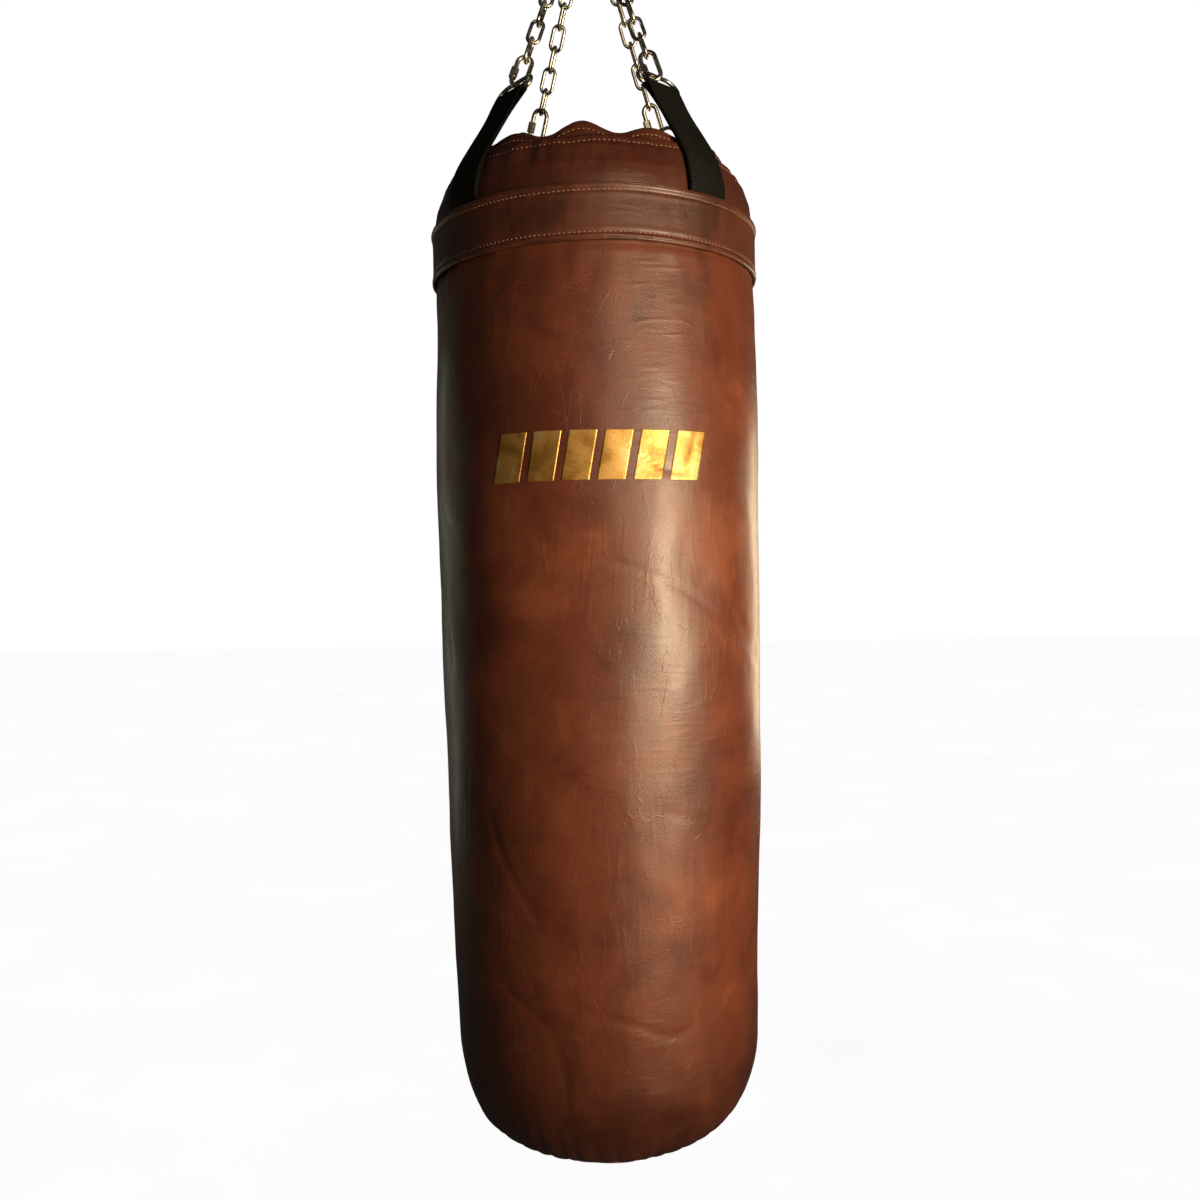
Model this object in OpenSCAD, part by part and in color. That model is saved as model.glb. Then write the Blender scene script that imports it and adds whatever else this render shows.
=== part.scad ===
// Hanging heavy bag for boxing practice: a stuffed leather cylinder under four webbing straps,
// D-rings, quick links and chains, which meet on a steel ring below a ball swivel.
// Origin: centre of the hanging eye. +Z up, the bag's front faces -Y. Millimetres.

/* [View] */
// Sub-part to draw, or "all"

/* [Bag] */
// Largest radius of the stuffed body
bag_r = 179.9; // [120:0.1:220]
// Radius where the rounded bottom begins
bag_low_r = 167.4; // [100:0.1:220]
// Height from the band's top edge to the start of the rounded bottom
side_h = 873.5; // [300:0.5:1400]
// Height of the rounded bottom
round_h = 128; // [60:1:200]
// Squareness of the rounded bottom, 1 for an ellipse
round_power = 0.8; // [0.5:0.05:1]
// Thickness of the leather
hide_t = 2.8; // [1.5:0.1:5]
// Radius of the sewn-in base panel
base_r = 100; // [40:1:150]
// Thickness of the foam layer under the leather
foam_t = 14.5; // [5:0.5:40]

/* [Band and collar] */
// Height of the reinforcing band
band_h = 54.8; // [30:0.1:90]
// Outer radius of the band
band_r = 181; // [120:0.1:222]
// Radius of the hide and the straps' seat under the band
seat_r = 174; // [110:0.1:216]
// Radius of the piped edges' cord
piping_r = 1.9; // [1:0.1:4]
// Height of the gathered collar above the band
collar_h = 53; // [20:1:90]
// Height of the closing sleeve above the band
sleeve_h = 71; // [30:1:110]
// Distance of each stitch row from the band's edge
row_in = 7.5; // [4:0.5:15]
// Radius of the sewing thread
thread_r = 0.45; // [0.3:0.05:1]

/* [Straps and D-rings] */
// Width of the webbing
strap_w = 50; // [25:1:80]
// Thickness of the doubled webbing
strap_t = 4.2; // [2:0.1:8]
// Height of the D-ring's bar above the band
strap_rise = 133.5; // [60:0.5:250]
// Distance of the D-ring's bar from the bag's axis
bar_r = 111.5; // [60:0.5:200]
// Radius of the D-ring's wire
dee_wire = 2.2; // [1.5:0.1:5]
// Height of the D-ring between wire centres
dee_h = 18; // [14:0.5:40]
// Lean of the D-ring from vertical
dee_lean = 29.5; // [0:0.5:45]

/* [Chains] */
// Links in each chain
chain_links = 10; // [4:1:20]
// Radius of the chain wire
link_wire = 2; // [1:0.1:4]
// Clear length inside a link
link_in = 24.15; // [16:0.05:40]
// Clear width inside a link
link_gap = 9; // [6:0.1:14]
// Radius of the quick link's wire
quick_wire = 2.5; // [1.5:0.1:5]
// Clear length inside the quick link
quick_in = 32; // [24:0.5:50]
// Clear width inside the quick link
quick_gap = 10.5; // [8:0.1:16]

/* [Ring and swivel] */
// Centreline radius of the steel ring
ring_r = 23; // [18:0.5:40]
// Radius of the ring's wire
ring_wire = 3.75; // [2.5:0.05:6]
// Radius of the hanging eye's bore
eye_bore = 7.5; // [5:0.1:12]
// Radius of the swivel's shank
shank_r = 5; // [3:0.1:8]

/* [Hidden] */
$fn = 64;
hide = [0.36, 0.16, 0.10];
hide_dark = [0.30, 0.12, 0.08];
web = [0.05, 0.05, 0.05];
steel = [0.62, 0.60, 0.56];
thread = [0.76, 0.56, 0.40];
gold = [0.80, 0.58, 0.22];

play = 0.3;                      // gap between links that hang in each other
ring_play = 0.5;                 // gap between the steel ring and a chain's first link
ring_z = -64 - ring_r;           // centre of the steel ring
link_pitch = link_in - play;
dee_play = 0.6;

// One row per leg: side in X, side in Y, angle on the ring
LEGS = [[-1, -1, -30], [1, -1, -10], [-1, 1, 30], [1, 1, 10]];

function unit(v) = v / norm(v);
pull_r = bar_r - dee_h * sin(dee_lean);
// Centre of the ring's wire where a leg hangs
function top_pt(i) = [0, ring_r * sin(LEGS[i][2]), ring_z - ring_r * cos(LEGS[i][2])];
leg_len = chain_links * link_pitch - ring_wire - ring_play + quick_in - dee_wire - dee_play;
function pull_xy(i) = [LEGS[i][0], LEGS[i][1]] * pull_r * sqrt(0.5);
function leg_flat(i) = norm([pull_xy(i)[0], pull_xy(i)[1] - top_pt(i)[1]]);
function pull_z(i) = top_pt(i)[2] - sqrt(pow(leg_len, 2) - pow(leg_flat(i), 2));
function pull_pt(i) = [pull_xy(i)[0], pull_xy(i)[1], pull_z(i)];
function bar_z(i) = pull_z(i) - dee_h * cos(dee_lean);
function leg_dir(i) = unit(pull_pt(i) - top_pt(i));
function leg_az(i) = atan2(LEGS[i][1], LEGS[i][0]);

band_z = bar_z(1) - strap_rise;  // top edge of the band
join_z = band_z - band_h / 2;
low_z = band_z - side_h;         // where the bottom begins to round
wide_z = band_z - 257;           // height of the largest radius

// Side profile of the stuffed body
function side_r(z) = z > wide_z
    ? bag_r - 2.1 * pow((z - wide_z) / 194, 2)
    : bag_r - (bag_r - bag_low_r) * pow((wide_z - z) / (wide_z - low_z), 1.5);
function body_line(off) = concat(
    [[seat_r - off, join_z], [seat_r - off, band_z - band_h - 1]],
    [for (k = [0:16]) let (z = band_z - band_h - 6 + k * (low_z - band_z + band_h + 6) / 16)
        [side_r(z) - off, z]],
    [for (a = [5:5:90]) [(bag_low_r - off) * pow(cos(a), round_power),
        low_z - (round_h - off) * pow(sin(a), round_power)]]);
function flip(p) = [for (k = [len(p) - 1:-1:0]) p[k]];

// Outline of a ribbon of thickness t along a line in the (radius, height) plane
function side(p, k) = let (d = unit(p[min(k + 1, len(p) - 1)] - p[max(k - 1, 0)])) [d[1], -d[0]];
function ribbon(p, t) = concat([for (k = [0:len(p) - 1]) p[k] + side(p, k) * t / 2],
                               flip([for (k = [0:len(p) - 1]) p[k] - side(p, k) * t / 2]));

// Middle lines of the collar, the closing sleeve and the straps
collar_line = [[seat_r - 1.4, join_z + 0.3], [seat_r - 1.4, band_z - 4],
               [seat_r - 1, band_z + 2], [171.4, band_z + 23],
               [166.5, band_z + 40], [159.5, band_z + collar_h]];
sleeve_line = [[158.2, band_z + 28], [156.6, band_z + 48], [154, band_z + 60],
               [148.9, band_z + sleeve_h]];
function strap_low() = [[seat_r + 0.3 + strap_t / 2, band_z - band_h + 6],
                        [seat_r + 0.8 + strap_t / 2, band_z - 4],
                        [seat_r + 1.6 + strap_t / 2, band_z + 3],
                        [173.6 + strap_t / 2, band_z + 24], [168.4 + strap_t / 2, band_z + 42],
                        [160 + strap_t / 2, band_z + 58], [151.6, band_z + 74]];
function strap_high(i) = [[162.1, band_z + 58], [151.6, band_z + 74], [bar_r, bar_z(i)]];

// Moves children so that their Z runs down leg i from the ring and their Y is the hole's axis
module on_leg(i) {
    p = top_pt(i);
    d = leg_dir(i);
    n = unit([0, 1, 0] - d[1] * d);
    w = cross(n, d);
    multmatrix([[w[0], n[0], d[0], p[0]], [w[1], n[1], d[1], p[1]], [w[2], n[2], d[2], p[2]]])
        children();
}

// A wire loop in the XZ plane whose clear space runs from z = 0 to z = len
module loop(len, gap, wire) {
    bend = gap / 2;
    for (s = [-1, 1])
        translate([s * (bend + wire), 0, bend]) cylinder(r = wire, h = len - gap);
    translate([0, 0, bend]) rotate([-90, 0, 0])
        rotate_extrude(angle = 180) translate([bend + wire, 0]) circle(r = wire);
    translate([0, 0, len - bend]) rotate([90, 0, 0])
        rotate_extrude(angle = 180) translate([bend + wire, 0]) circle(r = wire);
}

module chain_leg(i) {
    color(steel) on_leg(i)
        for (k = [0:chain_links - 1])
            translate([0, 0, k * link_pitch - ring_wire - ring_play]) rotate([0, 0, 90 * (k % 2)])
                loop(link_in, link_gap, link_wire);
}

// Places children in the frame of leg i's quick link, whose clear space starts at z = 0
module at_quick(i) {
    on_leg(i) translate([0, 0, chain_links * link_pitch - ring_wire - ring_play])
        rotate([0, 0, 90 * (chain_links % 2)]) children();
}

nut_x = quick_gap / 2 + quick_wire;
nut_low = quick_in - quick_gap / 2 - 1.2;
nut_len = 12.5;

module quick_link(i) {
    color(steel) at_quick(i) difference() {
        loop(quick_in, quick_gap, quick_wire);
        translate([nut_x - 3, -3, nut_low - 6.4]) cube([6, 6, 5]);
    }
}

module quick_nut(i) {
    color(steel) at_quick(i) translate([nut_x, 0, nut_low - nut_len]) difference() {
        intersection() {
            cylinder(r = 4.5, h = nut_len, $fn = 6);
            rotate_extrude() polygon([[0, 0], [3.9, 0], [4.5, 0.9], [4.5, nut_len - 0.9],
                                      [3.9, nut_len], [0, nut_len]]);
        }
        translate([0, 0, -1]) cylinder(r = quick_wire + 0.08, h = nut_len + 2);
    }
}

// Places children in the frame of a D-ring: X along the bar, Y towards the pull, origin on the bar
module at_dee(i) {
    rotate([0, 0, leg_az(i)]) translate([bar_r, 0, bar_z(i)])
        rotate([0, -dee_lean, 0]) rotate([90, 0, 90]) children();
}

dee_bar = 23.5;   // half length of the straight bar
dee_bend = 5;     // bends beside the bar
dee_bow = dee_h - dee_bend;

module arc_wire(x, y, r, from) {
    translate([x, y, 0]) rotate([0, 0, from])
        rotate_extrude(angle = 90) translate([r, 0]) circle(r = dee_wire);
}

module straight_wire(y, half) {
    translate([-half, y, 0]) rotate([0, 90, 0]) cylinder(r = dee_wire, h = 2 * half);
}

module d_ring(i) {
    flat = dee_bar + dee_bend - dee_bow;
    color(steel) at_dee(i) {
        straight_wire(0, dee_bar);
        straight_wire(dee_h, flat);
        arc_wire(dee_bar, dee_bend, dee_bend, -90);
        arc_wire(-dee_bar, dee_bend, dee_bend, 180);
        arc_wire(flat, dee_bend, dee_bow, 0);
        arc_wire(-flat, dee_bend, dee_bow, 90);
    }
}

module strap(i) {
    color(web) rotate([0, 0, leg_az(i)]) difference() {
        union() {
            intersection() {
                rotate([0, 0, -16]) rotate_extrude(angle = 32) polygon(ribbon(strap_low(), strap_t));
                translate([100, -strap_w / 2, band_z - 100]) cube([100, strap_w, 300]);
            }
            translate([0, strap_w / 2 - 1.5, 0]) rotate([90, 0, 0])
                linear_extrude(height = strap_w - 3) polygon(ribbon(strap_high(i), strap_t));
            translate([bar_r, strap_w / 2 - 2.5, bar_z(i)]) rotate([90, 0, 0])
                cylinder(r = dee_wire + 2.3, h = strap_w - 5);
        }
        translate([bar_r, 40, bar_z(i)]) rotate([90, 0, 0]) cylinder(r = dee_wire + 0.2, h = 80);
    }
}

module chain_front_left() chain_leg(0);
module chain_front_right() chain_leg(1);
module chain_rear_left() chain_leg(2);
module chain_rear_right() chain_leg(3);
module quick_link_front_left() quick_link(0);
module quick_link_front_right() quick_link(1);
module quick_link_rear_left() quick_link(2);
module quick_link_rear_right() quick_link(3);
module quick_nut_front_left() quick_nut(0);
module quick_nut_front_right() quick_nut(1);
module quick_nut_rear_left() quick_nut(2);
module quick_nut_rear_right() quick_nut(3);
module d_ring_front_left() d_ring(0);
module d_ring_front_right() d_ring(1);
module d_ring_rear_left() d_ring(2);
module d_ring_rear_right() d_ring(3);
module strap_front_left() strap(0);
module strap_front_right() strap(1);
module strap_rear_left() strap(2);
module strap_rear_right() strap(3);

// Swivel: a forged bow with the hanging eye, and a turning shank with the lower eye
bow_r = 14.5;
bow_z = -27.5;
seat_top = -34.5;
module swivel_body() {
    color(steel) difference() {
        union() {
            rotate([90, 0, 0]) rotate_extrude()
                polygon([[eye_bore + 1.2, -6], [12.6, -6], [14, -4.6], [14, 4.6], [12.6, 6],
                         [eye_bore + 1.2, 6], [eye_bore, 4.8], [eye_bore, -4.8]]);
            difference() {
                translate([0, 0, bow_z]) rotate([90, 0, 0])
                    rotate_extrude(angle = 180) translate([bow_r, 0]) circle(r = 4);
                rotate([90, 0, 0]) cylinder(r = 11, h = 20, center = true);
            }
            for (s = [-1, 1]) translate([s * bow_r, 0, -38]) cylinder(r = 4, h = bow_z + 38);
            rotate_extrude() polygon([[0, seat_top - 9.5], [18.3, seat_top - 9.5],
                [19.5, seat_top - 8.3], [19.5, seat_top - 1.2], [18.3, seat_top], [0, seat_top]]);
        }
        translate([0, 0, seat_top - 12]) cylinder(r = shank_r + 0.06, h = 14);
    }
}

module thrust_washer() {
    color(steel) translate([0, 0, seat_top + 0.1]) difference() {
        cylinder(r = 9, h = 2);
        translate([0, 0, -1]) cylinder(r = shank_r + 0.1, h = 4);
    }
}

module swivel_nut() {
    color(steel) translate([0, 0, seat_top + 2.2]) difference() {
        intersection() {
            cylinder(r = 8.6, h = 7.6, $fn = 6);
            rotate_extrude() polygon([[0, 0], [7.6, 0], [8.6, 1], [8.6, 6.4], [7.4, 7.6], [0, 7.6]]);
        }
        translate([0, 0, -1]) cylinder(r = shank_r + 0.05, h = 10);
    }
}

low_eye_r = 11;
low_eye_z = -64 - ring_wire - play - 3.6 + low_eye_r;
module swivel_shank() {
    color(steel) {
        translate([0, 0, -50]) cylinder(r = shank_r, h = 26.6);
        rotate_extrude() polygon([[0, -51], [6.5, -51], [8, -48.5], [8, -45.2], [7.2, -44.3],
                                  [0, -44.3]]);
        translate([0, 0, low_eye_z]) rotate([90, 0, 0])
            rotate_extrude() translate([low_eye_r, 0]) circle(r = 3.6);
    }
}

module master_ring() {
    color(steel) translate([0, 0, ring_z]) rotate([0, 90, 0])
        rotate_extrude() translate([ring_r, 0]) circle(r = ring_wire);
}

module hide_wall() {
    rotate_extrude() polygon(concat(body_line(0), flip(body_line(hide_t))));
}

module leather_shell() {
    color(hide) difference() {
        hide_wall();
        translate([0, 0, low_z - 200]) cylinder(r = base_r + 0.2, h = 200);
    }
}

module base_disc() {
    color(hide_dark) intersection() {
        hide_wall();
        translate([0, 0, low_z - 200]) cylinder(r = base_r - 0.2, h = 200);
    }
}

module base_welt() {
    turn = acos(pow(base_r / bag_low_r, 1 / round_power));
    welt_z = low_z - round_h * pow(sin(turn), round_power);
    color(hide_dark) translate([0, 0, welt_z - 2.6])
        rotate_extrude() translate([base_r + 1, 0]) circle(r = 1.8);
}

core_r = seat_r - hide_t - foam_t - 0.9;
module foam_layer() {
    line = body_line(hide_t + 0.3);
    inner = body_line(hide_t + foam_t + 0.3);
    color([0.75, 0.72, 0.6]) difference() {
        rotate_extrude() polygon(concat([[core_r + 0.5, band_z + 20], [169.4, band_z + 20]], line,
            flip(inner)));
        translate([0, 0, join_z - 50]) cylinder(r = core_r + 0.3, h = 200);
    }
}

module filling_core() {
    line = body_line(hide_t + foam_t + 0.6);
    color([0.6, 0.58, 0.55])
        rotate_extrude() polygon(concat([[0, band_z + 35], [core_r, band_z + 35]], line));
}

module top_band() {
    color(hide) difference() {
        rotate_extrude() polygon([[seat_r + 0.3, band_z - 3.6], [seat_r + 2.2, band_z - 2.3],
            [band_r - 1, band_z - 4.1], [band_r, band_z - 6.6], [band_r, band_z - band_h + 6],
            [band_r - 1, band_z - band_h + 3.6], [seat_r + 0.3, band_z - band_h + 3.6]]);
        for (i = [0:3]) rotate([0, 0, leg_az(i)]) intersection() {
            rotate([0, 0, -16]) rotate_extrude(angle = 32)
                polygon([[seat_r - 1, band_z - band_h + 5.6], [seat_r + strap_t + 0.7,
                    band_z - band_h + 5.6], [seat_r + strap_t + 1.6, band_z - 2],
                    [seat_r + strap_t + 2.3, band_z + 5], [seat_r - 1, band_z + 5]]);
            translate([100, -strap_w / 2 - 0.4, band_z - 100]) cube([100, strap_w + 0.8, 200]);
        }
    }
}

// Piped edge at height z, cut away where it would meet the straps when cut is true
module piping(z, cut) {
    color(hide_dark) difference() {
        translate([0, 0, z]) rotate_extrude() translate([band_r - piping_r, 0]) circle(r = piping_r);
        if (cut) for (i = [0:3]) rotate([0, 0, leg_az(i)]) intersection() {
            cylinder(r = seat_r + strap_t + 2, h = 2000, center = true);
            translate([100, -strap_w / 2 - 0.4, z - 50]) cube([100, strap_w + 0.8, 100]);
        }
    }
}
module band_piping_upper() piping(band_z - 1.3, true);
module band_piping_lower() piping(band_z - band_h + 1.6, false);

module collar() {
    color(hide) rotate_extrude() polygon(ribbon(collar_line, hide_t));
}

module closing_sleeve() {
    color(hide_dark) rotate_extrude() polygon(ribbon(sleeve_line, hide_t));
}

module thread_ring(r, z) {
    color(thread) translate([0, 0, z]) rotate_extrude() translate([r, 0]) circle(r = thread_r);
}
module band_thread_upper() thread_ring(band_r + thread_r + 0.05, band_z - row_in);
module band_thread_lower() thread_ring(band_r + thread_r + 0.05, band_z - band_h + row_in);
// Stitch rows near the top edges of the collar and of the sleeve
collar_row_r = 165.5;
sleeve_row_r = 155.5;
module collar_thread() color(thread) difference() {
    thread_ring(collar_row_r, band_z + collar_h - 7);
    for (i = [0:3]) rotate([0, 0, leg_az(i)])
        translate([100, -strap_w / 2 - 0.5, band_z]) cube([100, strap_w + 1, 100]);
}
module sleeve_thread() thread_ring(sleeve_row_r, band_z + sleeve_h - 9.5);

lid_z = band_z + 38;
module top_lid() {
    color(hide_dark) translate([0, 0, lid_z]) difference() {
        cylinder(r = 154.8, h = hide_t);
        translate([-101, -4, -1]) cube([202, 8, hide_t + 2]);
    }
}

zip_z = lid_z + hide_t + 0.1;
zip_half = 100;
module zip_tape() {
    color(web) translate([0, 0, zip_z]) difference() {
        translate([-zip_half - 8, -16, 0]) cube([2 * zip_half + 16, 32, 1]);
        translate([-zip_half, -3.2, -1]) cube([2 * zip_half, 6.4, 3]);
    }
}

module zip_teeth() {
    color(steel) translate([0, 0, zip_z + 0.1])
        for (k = [0:97]) translate([-98.5 + 2 * k, k % 2 == 0 ? -0.3 : -2.7, 0])
            cube([2.1, 3, 2.2]);
}

slide_x = 90;
pin_x = -2.8;     // pull's pin, from the slider's middle
pin_z = 6.7;
pin_r = 0.9;
module zip_slider() {
    color(steel) translate([slide_x, 0, zip_z]) {
        difference() {
            translate([-8, -5.5, 1.3]) cube([16, 11, 3.2]);
            translate([-9, -3.2, 1]) cube([18, 6.4, 1.7]);
        }
        for (s = [-1, 1]) translate([pin_x - 2.2, s * 3.4 - 1, 4.4]) cube([4.4, 2, pin_z - 3.2]);
        translate([pin_x, 4.2, pin_z]) rotate([90, 0, 0]) cylinder(r = pin_r, h = 8.4);
    }
}

module zip_pull() {
    color(steel) translate([slide_x + pin_x, 0, zip_z + pin_z]) difference() {
        union() {
            rotate([90, 0, 0]) cylinder(r = 1.9, h = 4.4, center = true);
            translate([-30, -4, -1.4]) cube([25, 8, 1.8]);
            translate([-6, -2.2, -1.4]) cube([6, 4.4, 1.8]);
        }
        rotate([90, 0, 0]) cylinder(r = pin_r + 0.06, h = 10, center = true);
        translate([-26, 0, -3]) cylinder(r = 2, h = 6);
    }
}

// A row of plain slanted bars, in foil on the front of the hide
emblem_x = 12;                   // middle of the row
emblem_z = band_z - 262;
emblem_h = 49;
bars = 6;
bar_w = 28;
bar_pitch = 35;
bar_slant = 9;                   // shift of a bar's top to the right
module bar(x) {
    polygon([[x - (bar_w + bar_slant) / 2, -emblem_h / 2], [x + (bar_w - bar_slant) / 2, -emblem_h / 2],
             [x + (bar_w + bar_slant) / 2, emblem_h / 2], [x - (bar_w - bar_slant) / 2, emblem_h / 2]]);
}
module emblem_foil() {
    color(gold) intersection() {
        rotate([0, 0, -140]) rotate_extrude(angle = 100)
            translate([bag_r + 0.1, emblem_z - 30]) square([0.4, 60]);
        rotate([90, 0, 0]) translate([emblem_x, emblem_z, 90]) linear_extrude(height = 110)
            for (k = [0:bars - 1]) bar((k - (bars - 1) / 2) * bar_pitch);
    }
}

swivel_body();
thrust_washer();
swivel_nut();
swivel_shank();
master_ring();
chain_front_left();
chain_front_right();
chain_rear_left();
chain_rear_right();
quick_link_front_left();
quick_link_front_right();
quick_link_rear_left();
quick_link_rear_right();
quick_nut_front_left();
quick_nut_front_right();
quick_nut_rear_left();
quick_nut_rear_right();
d_ring_front_left();
d_ring_front_right();
d_ring_rear_left();
d_ring_rear_right();
strap_front_left();
strap_front_right();
strap_rear_left();
strap_rear_right();
leather_shell();
base_disc();
base_welt();
foam_layer();
filling_core();
top_band();
band_piping_upper();
band_piping_lower();
collar();
closing_sleeve();
band_thread_upper();
band_thread_lower();
collar_thread();
sleeve_thread();
top_lid();
zip_tape();
zip_teeth();
zip_slider();
zip_pull();
emblem_foil();
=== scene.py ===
import math
import random

import bpy
from mathutils import Matrix, Vector, noise
from mathutils.bvhtree import BVHTree


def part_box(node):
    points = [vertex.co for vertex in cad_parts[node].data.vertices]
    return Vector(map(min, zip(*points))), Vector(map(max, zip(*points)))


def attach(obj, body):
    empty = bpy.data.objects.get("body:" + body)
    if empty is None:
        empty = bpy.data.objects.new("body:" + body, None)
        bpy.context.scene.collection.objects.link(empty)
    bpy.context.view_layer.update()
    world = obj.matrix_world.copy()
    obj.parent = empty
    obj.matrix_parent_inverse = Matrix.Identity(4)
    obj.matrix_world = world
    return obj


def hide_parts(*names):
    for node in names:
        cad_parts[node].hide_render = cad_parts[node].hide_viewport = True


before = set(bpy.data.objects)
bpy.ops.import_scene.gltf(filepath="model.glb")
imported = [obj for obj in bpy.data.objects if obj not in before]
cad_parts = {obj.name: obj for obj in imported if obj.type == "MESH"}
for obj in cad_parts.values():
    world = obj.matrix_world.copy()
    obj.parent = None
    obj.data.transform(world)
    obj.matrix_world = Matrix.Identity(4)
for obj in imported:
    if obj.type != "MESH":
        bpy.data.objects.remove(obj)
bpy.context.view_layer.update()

MM = 0.001
TURN = 2 * math.pi
LEGS = {"front_left": 225, "front_right": 315, "rear_left": 135, "rear_right": 45}
FRONT = -TURN / 4          # polar angle of the bag's front

# ---------------------------------------------------------------- places from the frame

BOX = {node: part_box(node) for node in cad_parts}


def top_of(node):
    return BOX[node][1].z


def bottom_of(node):
    return BOX[node][0].z


def middle_of(node):
    return (BOX[node][0] + BOX[node][1]) / 2


HIDE_T = 2.8 * MM                                   # leather thickness
STITCH_PITCH = 5 * MM
DEE_WIRE_R, DEE_BAR_R = 2.2 * MM, 111.5 * MM        # D-ring wire, and its bar from the axis
BAND_R = BOX["top_band"][1].x
BAND_TOP = top_of("band_piping_upper")
BAND_LOW = bottom_of("band_piping_lower")
ROUND_H = 128 * MM                                  # height of the rounded bottom
ROUND_Z = bottom_of("base_disc") + ROUND_H
BASE_R = BOX["base_disc"][1].x
COLLAR_TOP = top_of("collar")
SLEEVE_TOP = top_of("closing_sleeve")
LID_Z = top_of("top_lid")


def tree_of(*nodes):
    """One search tree over some CAD nodes' meshes."""
    points, polygons = [], []
    for node in nodes:
        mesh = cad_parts[node].data
        start = len(points)
        points += [v.co.copy() for v in mesh.vertices]
        polygons += [[start + i for i in p.vertices] for p in mesh.polygons]
    return BVHTree.FromPolygons(points, polygons)


def outer_radius(tree, z):
    """Radius of the outermost wall at height z."""
    hit = tree.ray_cast(Vector((1, 0, z)), Vector((-1, 0, 0)))[0]
    return hit.x if hit else None


def polar(r, angle, z):
    return Vector((r * math.cos(angle), r * math.sin(angle), z))


def ease(a, b, x):
    """0 below a, 1 above b, smooth between."""
    t = min(max((x - a) / (b - a), 0), 1)
    return t * t * (3 - 2 * t)


def bell(x, width):
    return math.exp(-(x / width) ** 2)


def wrap(angle):
    """The angle between -180 and 180 degrees."""
    return (angle + math.pi) % TURN - math.pi


def strap_nearness(angle, width):
    """1 at the middle of a strap and 0 away from all of them."""
    return max(bell(wrap(angle - math.radians(a)), width) for a in LEGS.values())


# ---------------------------------------------------------------- mesh helpers


def piece(name, points, polygons, material, body="bag", slot=None, stands_for=(), smooth=True):
    mesh = bpy.data.meshes.new(name)
    mesh.from_pydata(points, [], polygons)
    mesh.validate()
    mesh.update()
    if smooth:
        mesh.shade_smooth()
    obj = bpy.data.objects.new(name, mesh)
    bpy.context.scene.collection.objects.link(obj)
    mesh.materials.append(material)
    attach(obj, body)
    if stands_for:
        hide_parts(*stands_for)
    return obj


def ring_faces(rows, columns, start=0, close_rows=False):
    """Quads of a tube of point rows, closed round its columns."""
    quads = []
    for i in range(rows if close_rows else rows - 1):
        low, high = start + i * columns, start + (i + 1) % rows * columns
        for j in range(columns):
            k = (j + 1) % columns
            quads.append((low + j, low + k, high + k, high + j))
    return quads


def shell(name, point, rows, columns, thickness, **about):
    """A leather tube of real thickness: point(u, angle) gives its outer face, u from 0 to 1 going up."""
    outer = [[point(i / (rows - 1), TURN * j / columns) for j in range(columns)] for i in range(rows)]
    inner = []
    for i in range(rows):
        line = []
        for j in range(columns):
            along = outer[i][(j + 1) % columns] - outer[i][j - 1]
            up = outer[min(i + 1, rows - 1)][j] - outer[max(i - 1, 0)][j]
            line.append(outer[i][j] - along.cross(up).normalized() * thickness)
        inner.append(line)
    points = [p for line in outer + inner[::-1] for p in line]
    return piece(name, points, ring_faces(2 * rows, columns, close_rows=True), **about)


def torus(name, centre, sides, columns, **about):
    """A closed ring: centre(angle) gives (radius, height, half width, half height) of its section."""
    points = []
    for s in range(sides):
        turn = TURN * s / sides
        for j in range(columns):
            angle = TURN * j / columns
            r, z, wide, high = centre(angle)
            points.append(polar(r + wide * math.cos(turn), angle, z - high * math.sin(turn)))
    return piece(name, points, ring_faces(sides, columns, close_rows=True), **about)


def stitch_row(name, places, stands_for=(), length=3.4 * MM, radius=0.44 * MM, seed=1):
    """Separate stitches: each place is (point on the leather, along, outward)."""
    chance = random.Random(seed)
    sides, rings = 6, 5
    points, polygons = [], []
    for spot, along, out in places:
        along = (along + out * chance.uniform(-0.06, 0.06)).normalized()
        side = along.cross(out).normalized()
        along = (along + side * (0.10 + chance.uniform(-0.05, 0.05))).normalized()
        half = length / 2 * chance.uniform(0.93, 1.06)
        start = len(points)
        for i in range(rings):
            t = -1 + 2 * i / (rings - 1)
            size = radius * (1 - 0.62 * abs(t) ** 3)
            middle = spot + along * half * t + out * radius * (0.55 - 0.85 * t * t)
            for s in range(sides):
                turn = TURN * s / sides
                points.append(middle + (side * math.cos(turn) + out * math.sin(turn)) * size)
        polygons += ring_faces(rings, sides, start)
        polygons.append([start + s for s in range(sides)][::-1])
        polygons.append([start + (rings - 1) * sides + s for s in range(sides)])
    return piece(name, points, polygons, THREAD, slot="thread", stands_for=stands_for)


def around(point, pitch, radius, skip=None):
    """Places for a stitch row that runs round the bag along point(angle)."""
    count = round(TURN * radius / pitch)
    places = []
    for j in range(count):
        angle = TURN * j / count
        if skip and skip(angle):
            continue
        a, b = point(angle - 0.01), point(angle + 0.01)
        along = (b - a).normalized()
        out = along.cross(Vector((0, 0, 1))).normalized()
        places.append((point(angle), along, out))
    return places


# ---------------------------------------------------------------- materials


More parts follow.
